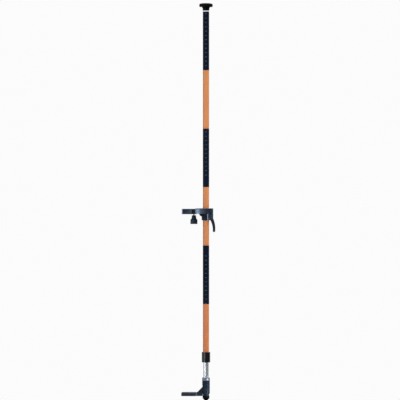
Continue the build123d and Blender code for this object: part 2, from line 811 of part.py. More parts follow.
# The lever is drawn round its own axis: the rounded handle first, then the cam and the pin's hole
lever_plane = Plane((lever_axis_x, 0, lever_axis_z), x_dir=(1, 0, 0), z_dir=(0, -1, 0))
with BuildPart() as clamp_lever:
    with BuildSketch(lever_plane):
        with BuildLine():
            ThreePointArc(lever_root_outer, lever_bulge_outer, lever_tip_outer)
            Line(lever_tip_outer, lever_tip_inner)
            ThreePointArc(lever_tip_inner, lever_bulge_inner, lever_root_inner)
            Line(lever_root_inner, lever_root_top)
            Line(lever_root_top, lever_root_outer)
        lever_face = make_face()
        fillet(lever_face.vertices().sort_by(Axis.Y)[:2], lever_tip_rounding)
    extrude(amount=lever_width / 2, both=True)
    lever_root_z = lever_axis_z + lever_root_inner[1]
    side_edges = clamp_lever.faces().filter_by(Axis.Y).edges()
    fillet(side_edges.filter_by(lambda edge: edge.center().Z < lever_root_z), lever_edge_rounding)
    with BuildSketch(lever_plane):
        with Locations((-lever_offset * math.sin(lever_start), -lever_offset * math.cos(lever_start))):
            Circle(lever_cam_radius)
    extrude(amount=lever_width / 2 - free_clearance, both=True)
    with BuildSketch(lever_plane):
        Circle(lever_pin_diameter / 2 + running_clearance)
    extrude(amount=lever_width / 2, both=True, mode=Mode.SUBTRACT)
keep(clamp_lever, "clamp_lever")

keep(make_cross_pin(lever_axis_x, lever_axis_z, lever_pin_diameter / 2, 2 * block_half_width), "lever_pin")

# Instrument screw: slider in the platform's slot, washer, screw, clip and knob
washer_top = slider_bottom - screw_lift - free_clearance
washer_bottom = washer_top - washer_thickness
knob_top = washer_bottom - running_clearance
knob_bottom = knob_top - knob_height
clip_top = slider_top - clip_play - screw_lift
clip_bottom = clip_top - clip_thickness
clip_seat = clip_bottom - running_clearance
clip_room = slider_radius - slider_wall
with BuildPart() as screw_slider:
    with BuildSketch(Plane.XY.offset(slider_bottom)):
        with Locations((screw_axis, 0)):
            Circle(slider_radius)
    extrude(amount=slider_top - slider_bottom)
    with BuildSketch(Plane.XY.offset(slider_ledge)):
        with Locations((screw_axis, 0)):
            Circle(slider_radius + slider_flange_width)
    extrude(amount=slider_flange_thickness)
    with BuildSketch(Plane.XY.offset(slider_bottom)):
        with Locations((screw_axis, 0)):
            Circle(screw_diameter / 2 + running_clearance)
    extrude(amount=slider_top - slider_bottom, mode=Mode.SUBTRACT)
    with BuildSketch(Plane.XY.offset(clip_seat)):
        with Locations((screw_axis, 0)):
            Circle(clip_room)
    extrude(amount=slider_top - clip_seat, mode=Mode.SUBTRACT)
keep(screw_slider, "screw_slider")

with BuildPart() as screw_washer:
    with BuildSketch(Plane.XY.offset(washer_bottom)):
        with Locations((screw_axis, 0)):
            Circle(slider_radius - washer_margin)
            Circle(screw_diameter / 2 + running_clearance, mode=Mode.SUBTRACT)
    extrude(amount=washer_thickness)
keep(screw_washer, "screw_washer")

with BuildPart() as instrument_screw:
    with BuildSketch(Plane.XY.offset(knob_top - screw_grip)):
        with Locations((screw_axis, 0)):
            Circle(screw_diameter / 2)
    extrude(amount=platform_top - screw_recess - knob_top + screw_grip)
keep(instrument_screw, "instrument_screw")

with BuildPart() as screw_clip:
    with BuildSketch(Plane.XY.offset(clip_bottom)):
        with Locations((screw_axis, 0)):
            Circle(clip_room - free_clearance)
            Circle(screw_diameter / 2 + push_clearance, mode=Mode.SUBTRACT)
            Rectangle(
                clip_opening,
                clip_room,
                align=(Align.CENTER, Align.MIN),
                mode=Mode.SUBTRACT,
            )
    extrude(amount=clip_thickness)
keep(screw_clip, "screw_clip")

grip_top = knob_bottom + knob_grip_height
shoulder_bottom = knob_top - knob_shoulder_height
with BuildPart() as knob:
    with BuildSketch(Plane.XZ):
        with BuildLine():
            shoulder_foot = (screw_axis + knob_shoulder_diameter / 2, shoulder_bottom)
            grip_rim = (screw_axis + knob_diameter / 2, grip_top)
            Line((screw_axis, knob_bottom), (screw_axis + knob_diameter / 2, knob_bottom))
            Line((screw_axis + knob_diameter / 2, knob_bottom), grip_rim)
            TangentArc(shoulder_foot, grip_rim, tangent=(0, -1))
            Line(shoulder_foot, (screw_axis + knob_top_diameter / 2, knob_top))
            Line((screw_axis + knob_top_diameter / 2, knob_top), (screw_axis, knob_top))
            Line((screw_axis, knob_top), (screw_axis, knob_bottom))
        make_face()
    revolve(axis=Axis((screw_axis, 0, 0), (0, 0, 1)))
    fillet(knob.edges().group_by(Axis.Z)[0], knob_rounding)
    flute_circle = (knob_diameter + knob_flute_diameter) / 2 - knob_flute_depth
    with BuildSketch(Plane.XY.offset(knob_bottom)):
        with Locations((screw_axis, 0)):
            with PolarLocations(flute_circle, knob_flutes):
                Circle(knob_flute_diameter / 2)
    extrude(amount=knob_grip_height, mode=Mode.SUBTRACT)
    with BuildSketch(Plane.XY.offset(knob_top - screw_grip)):
        with Locations((screw_axis, 0)):
            Circle(screw_diameter / 2 + push_clearance)
    extrude(amount=screw_grip, mode=Mode.SUBTRACT)
keep(knob, "knob")

# What the record needs to know of the joints
print("pedal axis height", round(pedal_axis, 3))
print("lever axis x and height", round(lever_axis_x, 3), round(lever_axis_z, 3))
print("levels", round(pad_top, 3), round(platform_top, 3), round(collar_bottom, 3), round(tube_bottom, 3))
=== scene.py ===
import math

import bmesh
import bpy
from mathutils import Matrix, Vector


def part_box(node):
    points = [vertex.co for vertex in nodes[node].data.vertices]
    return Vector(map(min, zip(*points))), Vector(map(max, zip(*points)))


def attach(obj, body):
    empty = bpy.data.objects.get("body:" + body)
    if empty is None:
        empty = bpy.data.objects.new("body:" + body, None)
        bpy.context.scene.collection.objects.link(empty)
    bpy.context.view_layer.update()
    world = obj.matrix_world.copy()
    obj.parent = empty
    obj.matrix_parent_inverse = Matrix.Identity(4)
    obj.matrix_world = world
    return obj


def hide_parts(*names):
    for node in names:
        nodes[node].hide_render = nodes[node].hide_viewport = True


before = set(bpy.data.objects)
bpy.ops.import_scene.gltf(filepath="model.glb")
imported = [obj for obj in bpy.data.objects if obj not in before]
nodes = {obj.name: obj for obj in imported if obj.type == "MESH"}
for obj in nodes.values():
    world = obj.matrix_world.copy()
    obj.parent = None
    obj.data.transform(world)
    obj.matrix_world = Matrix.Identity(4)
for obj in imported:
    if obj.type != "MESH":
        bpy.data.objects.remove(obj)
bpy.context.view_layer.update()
print("frame loaded:", len(nodes), "nodes")


# how the noises of every finish turn into colour, wear and roughness
spans = {
    "noiseRoughness": 0.55,
    "cloudDetail": 4.0,
    "cloud": (0.36, 0.64),
    "scuffDetail": 6.0,
    "scuffWidth": 0.08,
    "edgeTurn": (0.985, 0.88),
    "edgeScuff": (0.40, 0.56),
    "edgeSamples": 8,
    "grime": (0.3, 0.7),
    "grimeLeast": 0.15,
    "grainDetail": 3.0,
    "grain": (0.3, 0.7),
    "upright": (0.4, 0.6),
}


# small helpers for the finishes, all on object coordinates in metres
def addNode(tree, kind, inputs=None, **settings):
    node = tree.nodes.new("ShaderNode" + kind)
    for name, value in settings.items():
        setattr(node, name, value)
    for name, value in (inputs or {}).items():
        node.inputs[name].default_value = value
    return node


def noiseOn(tree, coords, cells, detail):  # cells = noise cells per metre along X, Y and Z
    mapping = addNode(tree, "Mapping", {"Scale": cells})
    settings = {"Scale": 1.0, "Detail": detail, "Roughness": spans["noiseRoughness"]}
    noise = addNode(tree, "TexNoise", settings)
    tree.links.new(coords, mapping.inputs["Vector"])
    tree.links.new(mapping.outputs["Vector"], noise.inputs["Vector"])
    return noise.outputs["Fac"]


def spread(tree, value, fromLow, fromHigh, toLow=0.0, toHigh=1.0):
    limits = {"From Min": fromLow, "From Max": fromHigh, "To Min": toLow, "To Max": toHigh}
    node = addNode(tree, "MapRange", limits)
    tree.links.new(value, node.inputs["Value"])
    return node.outputs["Result"]


def calculate(tree, operation, first, second):
    node = addNode(tree, "Math", operation=operation)
    for socket, value in zip(node.inputs, (first, second)):
        if isinstance(value, (int, float)):
            socket.default_value = value
        else:
            tree.links.new(value, socket)
    return node.outputs["Value"]


def blend(tree, amount, first, second):  # plain numbers or sockets, first where the amount is 0
    change = calculate(tree, "SUBTRACT", second, first)
    return calculate(tree, "ADD", first, calculate(tree, "MULTIPLY", change, amount))


def mixColours(tree, amount, first, second):
    node = addNode(tree, "Mix", data_type="RGBA")
    factor, colourA, colourB = node.inputs[0], node.inputs[6], node.inputs[7]
    tree.links.new(amount, factor)
    for socket, colour in ((colourA, first), (colourB, second)):
        if isinstance(colour, tuple):
            socket.default_value = (*colour, 1)
        else:
            tree.links.new(colour, socket)
    return node.outputs[2]


def nearHeights(tree, coords, heights, reach):  # 1 at each height, fading out over the reach
    split = addNode(tree, "SeparateXYZ")
    tree.links.new(coords, split.inputs["Vector"])
    best = None
    for height in heights:
        away = calculate(tree, "ABSOLUTE", calculate(tree, "SUBTRACT", split.outputs["Z"], height), 0.0)
        near = spread(tree, away, 0.0, reach, 1.0, 0.0)
        best = near if best is None else calculate(tree, "MAXIMUM", best, near)
    return best


def uprightZones(tree, coords, zones):  # 1 on upright faces inside any zone, from and to along X and Z
    place = addNode(tree, "SeparateXYZ")
    facing = addNode(tree, "SeparateXYZ")
    tree.links.new(coords, place.inputs["Vector"])
    tree.links.new(addNode(tree, "NewGeometry").outputs["Normal"], facing.inputs["Vector"])
    inside = None
    for zone in zones:
        limits = (("GREATER_THAN", "X"), ("LESS_THAN", "X"), ("GREATER_THAN", "Z"), ("LESS_THAN", "Z"))
        here = 1.0
        for (test, axis), limit in zip(limits, zone):
            here = calculate(tree, "MULTIPLY", calculate(tree, test, place.outputs[axis], limit), here)
        inside = here if inside is None else calculate(tree, "MAXIMUM", inside, here)
    steep = calculate(tree, "ABSOLUTE", facing.outputs["Z"], 0.0)
    return calculate(tree, "MULTIPLY", inside, spread(tree, steep, *spans["upright"], 1.0, 0.0))


def makeFinish(name, finish):
    material = bpy.data.materials.new(name)
    material.use_nodes = True
    tree = material.node_tree
    shader = tree.nodes["Principled BSDF"]
    for socket, value in finish.get("fixed", {}).items():
        shader.inputs[socket].default_value = value
    coords = addNode(tree, "TexCoord").outputs["Object"]
    # cloudy change of colour
    cloud = noiseOn(tree, coords, finish["cloud"], spans["cloudDetail"])
    colour = mixColours(tree, spread(tree, cloud, *spans["cloud"]), finish["base"], finish["tint"])
    # scuffs and fine scratches
    scuff = noiseOn(tree, coords, finish["scuff"], spans["scuffDetail"])
    scuffEdge = finish["scuffFrom"]
    worn = spread(tree, scuff, scuffEdge, scuffEdge + spans["scuffWidth"], 0.0, finish["scuffAmount"])
    colour = mixColours(tree, worn, colour, finish["scuffColour"])
    # edges rubbed by use
    if "edgeReach" in finish:
        rounded = addNode(tree, "Bevel", {"Radius": finish["edgeReach"]}, samples=spans["edgeSamples"])
        turned = addNode(tree, "VectorMath", operation="DOT_PRODUCT")
        tree.links.new(rounded.outputs["Normal"], turned.inputs[0])
        tree.links.new(addNode(tree, "NewGeometry").outputs["Normal"], turned.inputs[1])
        edge = spread(tree, turned.outputs["Value"], *spans["edgeTurn"], 0.0, finish["edgeAmount"])
        edge = calculate(tree, "MULTIPLY", edge, spread(tree, scuff, *spans["edgeScuff"]))
        colour = mixColours(tree, edge, colour, finish["edgeColour"])
    # grime that gathers at the joints
    if "grimeAt" in finish:
        near = nearHeights(tree, coords, finish["grimeAt"], finish["grimeReach"])
        patchy = spread(tree, cloud, *spans["grime"], spans["grimeLeast"], finish["grimeAmount"])
        grime = calculate(tree, "MULTIPLY", near, patchy)
        colour = mixColours(tree, grime, colour, finish["grimeColour"])
    tree.links.new(colour, shader.inputs["Base Color"])
    # roughness moves with the grain and the scuffs
    grain = noiseOn(tree, coords, finish["grain"], spans["grainDetail"])
    roughness = spread(tree, grain, *spans["grain"], *finish["roughness"])
    # inside the zones the roughness rises and the reflection is tinted dark; on the bracket's neck this is
    # painted shade
    if "coarseZones" in finish:
        coarse = uprightZones(tree, coords, finish["coarseZones"])
        roughness = blend(tree, coarse, roughness, finish["coarseRoughness"])
        gloss = mixColours(tree, coarse, finish["fixed"]["Specular Tint"][:3], finish["dimmedGloss"])
        tree.links.new(gloss, shader.inputs["Specular Tint"])
    roughness = calculate(tree, "ADD", roughness, calculate(tree, "MULTIPLY", worn, finish["scuffRough"]))
    tree.links.new(roughness, shader.inputs["Roughness"])
    bump = addNode(tree, "Bump", {"Strength": finish["bump"], "Distance": finish["depth"]})
    tree.links.new(grain, bump.inputs["Height"])
    tree.links.new(bump.outputs["Normal"], shader.inputs["Normal"])
    return material


def paint(material, *names):
    for name in names:
        mesh = nodes[name].data
        mesh.materials.clear()
        mesh.materials.append(material)


def heightOf(name, end):  # 0 is a node's lower end, 1 its upper
    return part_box(name)[end].z


# finishes of the pole
orangeFinish = {
    "base": (0.56, 0.202, 0.062),
    "tint": (0.49, 0.176, 0.057),
    "cloud": (40, 40, 6),
    "scuff": (520, 520, 26),
    "scuffFrom": 0.61,
    "scuffAmount": 0.25,
    "scuffColour": (0.74, 0.42, 0.25),
    "scuffRough": 0.15,
    "grain": (900, 900, 900),
    "roughness": (0.38, 0.54),
    "bump": 0.32,
    "depth": 0.00008,
    "grimeAt": [heightOf("lower_tube", 1), heightOf("middle_tube", 1), heightOf("lock_collar", 1)],
    "grimeReach": 0.012,
    "grimeAmount": 0.7,
    "grimeColour": (0.24, 0.10, 0.05),
    "fixed": {"IOR": 1.48, "Sheen Weight": 0.30, "Sheen Roughness": 0.35, "Sheen Tint": (1, 0.95, 0.9, 1)},
}
orangeCoat = makeFinish("orangeCoat", orangeFinish)
shadedTone = {  # a shaded copy of the orange coat: the lowest section's deeper orange is painted shade, and a strong sheen gives it paler edges
    "base": (0.48, 0.147, 0.042),
    "tint": (0.44, 0.137, 0.040),
    "fixed": {"IOR": 1.48, "Sheen Weight": 0.95, "Sheen Roughness": 0.34, "Sheen Tint": (1, 0.93, 0.84, 1)},
}
shadedCoat = makeFinish("shadedOrangeCoat", {**orangeFinish, **shadedTone})
# the lowest section gets the copy whose orange is painted darker as shade
paint(orangeCoat, "middle_tube", "upper_tube")
paint(shadedCoat, "lower_tube")

blackFilm = makeFinish("blackFilm", {
    "base": (0.0012, 0.0045, 0.0140),
    "tint": (0.0028, 0.0070, 0.0180),
    "cloud": (30, 30, 4),
    "scuff": (480, 480, 30),
    "scuffFrom": 0.61,
    "scuffAmount": 0.30,
    "scuffColour": (0.040, 0.048, 0.060),
    "scuffRough": 0.10,
    "grain": (1400, 1400, 1400),
    "roughness": (0.52, 0.64),
    "bump": 0.18,
    "depth": 0.00004,
    "fixed": {"Specular IOR Level": 0.06},
})
paint(blackFilm, "lower_band", "middle_band", "upper_band")

turnedMetal = makeFinish("turnedMetal", {
    "base": (0.27, 0.31, 0.37),
    "tint": (0.22, 0.25, 0.30),
    "cloud": (25, 25, 400),
    "scuff": (300, 300, 60),
    "scuffFrom": 0.66,
    "scuffAmount": 0.35,
    "scuffColour": (0.30, 0.32, 0.35),
    "scuffRough": 0.12,
    "grain": (12, 12, 5200),
    "roughness": (0.48, 0.60),
    "bump": 0.22,
    "depth": 0.00003,
    "fixed": {"Metallic": 1.0},
})
paint(turnedMetal, "lower_coupler", "upper_coupler", "foot_ring")

blastedMetal = makeFinish("blastedMetal", {
    "base": (0.66, 0.69, 0.73),
    "tint": (0.58, 0.61, 0.65),
    "cloud": (60, 60, 60),
    "scuff": (300, 300, 300),
    "scuffFrom": 0.66,
    "scuffAmount": 0.35,
    "scuffColour": (0.40, 0.42, 0.45),
    "scuffRough": 0.10,
    "grain": (3000, 3000, 3000),
    "roughness": (0.58, 0.70),
    "bump": 0.25,
    "depth": 0.00003,
    "fixed": {"Metallic": 0.45},
})
paint(blastedMetal, "top_ferrule")

drawnTube = makeFinish("drawnTube", {
    "base": (0.95, 0.98, 1.0),
    "tint": (0.92, 0.955, 0.98),
    "cloud": (160, 160, 5),
    "scuff": (900, 900, 9),
    "scuffFrom": 0.64,
    "scuffAmount": 0.12,
    "scuffColour": (0.55, 0.57, 0.60),
    "scuffRough": 0.10,
    "grain": (2200, 2200, 10),
    "roughness": (0.35, 0.37),
    "bump": 0.03,
    "depth": 0.00006,
    "fixed": {"Metallic": 1.0},
})
paint(drawnTube, "inner_tube")

# finishes of the rubber, the mouldings and the foot
softRubber = makeFinish("softRubber", {
    "base": (0.0008, 0.0009, 0.0012),
    "tint": (0.0018, 0.0019, 0.0024),
    "cloud": (60, 60, 60),
    "scuff": (240, 240, 240),
    "scuffFrom": 0.66,
    "scuffAmount": 0.30,
    "scuffColour": (0.025, 0.025, 0.024),
    "scuffRough": 0.08,
    "grain": (1400, 1400, 1400),
    "roughness": (0.52, 0.66),
    "bump": 0.40,
    "depth": 0.00012,
    "fixed": {"Specular IOR Level": 0.08},
})
paint(softRubber, "ceiling_pad", "foot_tip", "pad_holder")

mouldingFinish = {
    "base": (0.0030, 0.0060, 0.0135),
    "tint": (0.0048, 0.0085, 0.0175),
    "cloud": (45, 45, 45),
    "scuff": (300, 300, 300),
    "scuffFrom": 0.62,
    "scuffAmount": 0.22,
    "scuffColour": (0.060, 0.068, 0.080),
    "scuffRough": 0.15,
    "grain": (1500, 1500, 1500),
    "roughness": (0.25, 0.38),
    "bump": 0.34,
    "depth": 0.00010,
    "edgeReach": 0.0009,
    "edgeAmount": 0.35,
    "edgeColour": (0.050, 0.056, 0.066),
    "fixed": {"IOR": 1.7, "Specular IOR Level": 1.0, "Specular Tint": (0.63, 0.775, 1.0, 1)},
}
bracketLow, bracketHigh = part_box("bracket")
sleeveTop = bracketLow.z + 0.0330
blockStart = 0.0062
neckStart, neckEnd = -0.0735, -0.0575
dulledSleeveShadedNeck = {  # the sleeve under the flange is rougher with its reflection tinted dark, and the platform's neck gets the same as painted shade in its recess
    "coarseZones": [
        (bracketLow.x, blockStart, bracketLow.z, sleeveTop),
        (neckStart, neckEnd, sleeveTop, bracketHigh.z),
    ],
    "coarseRoughness": 0.62,
    "dimmedGloss": (0.10, 0.11, 0.14),
}
blackMoulding = makeFinish("blackMoulding", {**mouldingFinish, **dulledSleeveShadedNeck})
paint(blackMoulding, "bracket")
mattLook = {  # parts for the hand
    "roughness": (0.44, 0.56),
    "fixed": {"Specular IOR Level": 0.45, "Specular Tint": (0.70, 0.86, 1.0, 1)},
}
mattMoulding = makeFinish("mattMoulding", {**mouldingFinish, **mattLook})
paint(mattMoulding, "clamp_lever", "knob")

glossCollar = makeFinish("glossCollar", {
    "base": (0.0022, 0.0032, 0.0062),
    "tint": (0.0034, 0.0046, 0.0082),
    "cloud": (50, 50, 20),
    "scuff": (500, 500, 60),
    "scuffFrom": 0.62,
    "scuffAmount": 0.22,
    "scuffColour": (0.040, 0.043, 0.048),
    "scuffRough": 0.20,
    "grain": (900, 900, 900),
    "roughness": (0.16, 0.24),
    "bump": 0.05,
    "depth": 0.00003,
})
paint(glossCollar, "lock_collar")

coatFinish = {
    "base": (0.0030, 0.0060, 0.0130),
    "tint": (0.0048, 0.0085, 0.0170),
    "cloud": (55, 55, 30),
    "scuff": (340, 340, 120),
    "scuffFrom": 0.60,
    "scuffAmount": 0.30,
    "scuffColour": (0.075, 0.080, 0.088),
    "scuffRough": 0.12,
    "grain": (1200, 1200, 1200),
    "roughness": (0.40, 0.56),
    "bump": 0.36,
    "depth": 0.00010,
    "edgeReach": 0.0009,
    "edgeAmount": 0.50,
    "edgeColour": (0.16, 0.165, 0.175),
    "fixed": {"Specular IOR Level": 0.28, "Specular Tint": (0.60, 0.80, 1.0, 1)},
}
blackCoat = makeFinish("blackCoat", coatFinish)
paint(blackCoat, "foot_housing", "foot_plunger", "pedal_pin", "lever_pin")
treadLook = {  # the pedal's coat is rubbed to a paler shine
    "fixed": {"Specular IOR Level": 0.50, "Specular Tint": (0.80, 0.87, 1.0, 1)},
}
treadCoat = makeFinish("treadCoat", {**coatFinish, **treadLook})
paint(treadCoat, "pedal")

greyNylon = makeFinish("greyNylon", {
    "base": (0.26, 0.26, 0.25),
    "tint": (0.32, 0.32, 0.30),
    "cloud": (70, 70, 70),
    "scuff": (300, 300, 300),
    "scuffFrom": 0.68,
    "scuffAmount": 0.25,
    "scuffColour": (0.16, 0.16, 0.15),
    "scuffRough": 0.10,
    "grain": (1500, 1500, 1500),
    "roughness": (0.44, 0.56),
    "bump": 0.20,
    "depth": 0.00005,
})
paint(greyNylon, "collar_bush", "collet", "tube_guide", "pole_liner", "liner_ring", "clamp_shoe")
paint(greyNylon, "screw_slider", "screw_washer")

platedSteel = makeFinish("platedSteel", {
    "base": (0.60, 0.61, 0.63),
    "tint": (0.52, 0.53, 0.56),
    "cloud": (90, 90, 90),
    "scuff": (420, 420, 420),
    "scuffFrom": 0.68,
    "scuffAmount": 0.30,
    "scuffColour": (0.34, 0.34, 0.35),
    "scuffRough": 0.15,
    "grain": (2600, 2600, 2600),
    "roughness": (0.22, 0.34),
    "bump": 0.12,
    "depth": 0.00003,
    "fixed": {"Metallic": 1.0},
})
paint(platedSteel, "pad_screw", "plunger_screw")
paint(platedSteel, "instrument_screw", "screw_clip")

brightZinc = makeFinish("brightZinc", {
    "base": (0.66, 0.72, 0.78),
    "tint": (0.58, 0.64, 0.70),
    "cloud": (140, 140, 140),
    "scuff": (500, 500, 500),
    "scuffFrom": 0.68,
    "scuffAmount": 0.30,
    "scuffColour": (0.48, 0.50, 0.53),
    "scuffRough": 0.12,
    "grain": (2600, 2600, 2600),
    "roughness": (0.34, 0.46),
    "bump": 0.15,
    "depth": 0.00003,
    "fixed": {"Metallic": 0.30},
})
paint(brightZinc, "ring_screws")

markInk = makeFinish("markInk", {
    "base": (0.045, 0.050, 0.057),
    "tint": (0.036, 0.041, 0.047),
    "cloud": (120, 120, 120),
    "scuff": (900, 900, 900),
    "scuffFrom": 0.66,
    "scuffAmount": 0.50,
    "scuffColour": (0.02, 0.025, 0.032),
    "scuffRough": 0.05,
    "grain": (1400, 1400, 1400),
    "roughness": (0.40, 0.52),
    "bump": 0.15,
    "depth": 0.00003,
})
print("finishes made:", len(bpy.data.materials))


meshRules = {
    "smoothAngle": 35,
    "roundAngle": 30,
    "roundSegments": 3,
    "ribSegments": 2,
    "mergeDistance": 1e-6,
}


def makePiece(name, bm, body, material):
    mesh = bpy.data.meshes.new(name)
    for face in bm.faces:
        face.smooth = True
    bm.to_mesh(mesh)
    bm.free()
    mesh.set_sharp_from_angle(angle=math.radians(meshRules["smoothAngle"]))
    mesh.materials.append(material)
    piece = bpy.data.objects.new(name, mesh)
    bpy.context.scene.collection.objects.link(piece)
    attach(piece, body)
    return piece


def spinProfile(bm, points, steps):  # points are (radius, height), from the axis round to the axis
    verts = [bm.verts.new((radius, 0, height)) for radius, height in points]
    edges = [bm.edges.new(pair) for pair in zip(verts, verts[1:])]
    bmesh.ops.spin(
        bm, geom=verts + edges, cent=(0, 0, 0), axis=(0, 0, 1), dvec=(0, 0, 0),
        angle=2 * math.pi, steps=steps, use_merge=True, use_duplicate=False,
    )
    bmesh.ops.remove_doubles(bm, verts=bm.verts, dist=meshRules["mergeDistance"])
    bmesh.ops.recalc_face_normals(bm, faces=bm.faces)


def roundEdges(bm, width):
    limit = math.radians(meshRules["roundAngle"])
    sharp = [edge for edge in bm.edges if edge.is_manifold and edge.calc_face_angle() > limit]
    bmesh.ops.bevel(
        bm, geom=sharp, offset=width, offset_type="OFFSET", affect="EDGES",
        segments=meshRules["roundSegments"], profile=0.5, material=-1,
    )


# ceiling pad: a rubber cap with grip rings on top, pushed over the holder's disc
pad = {
    "flat": 0.0130,
    "edgeHeight": 0.0155,
    "edgeBulge": 0.0018,
    "bulgeSteps": 8,
    "rings": 3,
    "ringFrom": 0.0150,
    "ringPitch": 0.0054,
    "ringWidth": 0.0022,
    "ringDepth": 0.0012,
    "ringSteepness": 3,
    "rounding": 0.0004,
    "steps": 96,
}
padLow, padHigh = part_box("ceiling_pad")
padRim = padHigh.x - pad["edgeBulge"]


def crownHeight(radius):  # the top falls away outside its flat middle
    share = max(0.0, radius - pad["flat"]) / (padRim - pad["flat"])
    return padHigh.z - (padHigh.z - padLow.z - pad["edgeHeight"]) * share ** 2


padProfile = [(0, padHigh.z), (pad["flat"], padHigh.z)]
for ring in range(pad["rings"]):
    inner = pad["ringFrom"] + ring * pad["ringPitch"]
    outer = inner + pad["ringWidth"]
    slope = pad["ringDepth"] / pad["ringSteepness"]
    padProfile.append((inner, crownHeight(inner)))
    padProfile.append((inner + slope, crownHeight(inner) - pad["ringDepth"]))
    padProfile.append((outer - slope, crownHeight(outer) - pad["ringDepth"]))
    padProfile.append((outer, crownHeight(outer)))
for step in range(pad["bulgeSteps"] + 1):
    share = step / pad["bulgeSteps"]
    bulge = pad["edgeBulge"] * (1 - (2 * share - 1) ** 2)
    padProfile.append((padRim + bulge, padLow.z + pad["edgeHeight"] * (1 - share)))
pocketRadius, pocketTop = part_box("pad_holder")[1].x, heightOf("pad_holder", 1)
padProfile += [(pocketRadius, padLow.z), (pocketRadius, pocketTop), (0, pocketTop)]
bm = bmesh.new()
spinProfile(bm, padProfile, pad["steps"])
roundEdges(bm, pad["rounding"])
ceilingCap = makePiece("ceilingCap", bm, "pole", softRubber)
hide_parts("ceiling_pad")

# foot: a rubber tip with grooves round its collar and a hollow sole
foot = {
    "solePad": 0.0080,
    "soleHollow": 0.0048,
    "hollowDepth": 0.0014,
    "shank": (0.0100, 0.0128),
    "collarLow": 0.0195,
    "grooves": 3,
    "grooveFrom": 0.0222,
    "groovePitch": 0.0031,
    "grooveWidth": 0.0014,
    "grooveDepth": 0.0007,
    "grooveSteepness": 3,
    "studRadius": 0.0050,
    "studDepth": 0.0170,
    "rounding": 0.000175,
    "steps": 72,
}
footLow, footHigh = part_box("foot_tip")
hollow = foot["hollowDepth"]
footProfile = [
    (0, footLow.z + hollow),
    (foot["soleHollow"], footLow.z + hollow),
    (foot["soleHollow"] + hollow, footLow.z),
    (foot["solePad"], footLow.z),
    foot["shank"],
    (footHigh.x, foot["collarLow"]),
]
for groove in range(foot["grooves"]):
    low = foot["grooveFrom"] + groove * foot["groovePitch"]
    high = low + foot["grooveWidth"]
    depth = foot["grooveDepth"]
    slope = depth / foot["grooveSteepness"]
    footProfile += [(footHigh.x, low), (footHigh.x - depth, low + slope)]
    footProfile += [(footHigh.x - depth, high - slope), (footHigh.x, high)]
studFloor = footHigh.z - foot["studDepth"]
footProfile += [(footHigh.x, footHigh.z), (foot["studRadius"], footHigh.z)]
footProfile += [(foot["studRadius"], studFloor), (0, studFloor)]
bm = bmesh.new()
spinProfile(bm, footProfile, foot["steps"])
roundEdges(bm, foot["rounding"])
rubberFoot = makePiece("rubberFoot", bm, "foot", softRubber)
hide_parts("foot_tip")

# instrument screw: a thread turned up a helix, cut square at both ends
thread = {
    "pitch": 0.00127,
    "depth": 0.00070,
    "crest": 0.14,
    "stepsPerTurn": 36,
    "spareTurns": 2,
    "turnsBelow": 1.5,
}
screwLow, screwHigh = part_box("instrument_screw")
screwAxis = (screwLow.x + screwHigh.x) / 2
crestRadius = (screwHigh.x - screwLow.x) / 2
rootRadius = crestRadius - thread["depth"]
pitch = thread["pitch"]
turns = math.ceil((screwHigh.z - screwLow.z) / pitch) + thread["spareTurns"]
threadStart = screwLow.z - thread["turnsBelow"] * pitch
bm = bmesh.new()
tooth = [
    (rootRadius, 0.0),
    (crestRadius, 0.5 - thread["crest"] / 2),
    (crestRadius, 0.5 + thread["crest"] / 2),
    (rootRadius, 1.0),
]
toothVerts = [bm.verts.new((screwAxis + radius, 0, threadStart + share * pitch)) for radius, share in tooth]
toothEdges = [bm.edges.new(pair) for pair in zip(toothVerts, toothVerts[1:])]
bmesh.ops.spin(
    bm, geom=toothVerts + toothEdges, cent=(screwAxis, 0, 0), axis=(0, 0, 1),
    dvec=(0, 0, pitch / thread["stepsPerTurn"]), angle=2 * math.pi * turns,
    steps=thread["stepsPerTurn"] * turns, use_merge=False, use_duplicate=False,
)
bmesh.ops.remove_doubles(bm, verts=bm.verts, dist=meshRules["mergeDistance"])
for cut, outwards in ((screwLow.z, -1), (screwHigh.z, 1)):
    everything = bm.verts[:] + bm.edges[:] + bm.faces[:]
    bmesh.ops.bisect_plane(
        bm, geom=everything, plane_co=(0, 0, cut), plane_no=(0, 0, outwards), clear_outer=True,
    )
bmesh.ops.holes_fill(bm, edges=[edge for edge in bm.edges if edge.is_boundary], sides=0)
bmesh.ops.recalc_face_normals(bm, faces=bm.faces)
threadedScrew = makePiece("threadedScrew", bm, "knob", platedSteel)
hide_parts("instrument_screw")

# raised ribs across the pedal's tread
ribs = {
    "count": 9,
    "pitch": 0.0070,
    "size": (0.0030, 0.0210, 0.0016),
    "rise": 0.0006,
    "fromEnd": 0.0120,
    "treadHeight": 0.0200,
    "rounding": 0.0004,
}
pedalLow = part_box("pedal")[0]
ribHeight = pedalLow.z + ribs["treadHeight"] + ribs["rise"] - ribs["size"][2] / 2
bm = bmesh.new()
for rib in range(ribs["count"]):
    ribPlace = Matrix.Translation((pedalLow.x + ribs["fromEnd"] + rib * ribs["pitch"], 0, ribHeight))
    bmesh.ops.create_cube(bm, size=1.0, matrix=ribPlace @ Matrix.Diagonal((*ribs["size"], 1)))
bmesh.ops.bevel(
    bm, geom=bm.edges[:], offset=ribs["rounding"], offset_type="OFFSET", affect="EDGES",
    segments=meshRules["ribSegments"], profile=0.5, material=-1,
)
makePiece("treadRibs", bm, "pedal", treadCoat)
print("rubber ends, screw thread and tread ribs made")

# printed marks down the front of each black band
marks = {
    "width": 0.0095,
    "height": 0.0030,
    "pitch": 0.02207,
    "thickness": 0.00010,
    "steps": 8,
    "bands": {  # band: first mark under the band's top edge, and how many
        "upper_band": (0.0113, 13),
        "middle_band": (0.0170, 11),
        "lower_band": (0.0537, 12),
    },
}


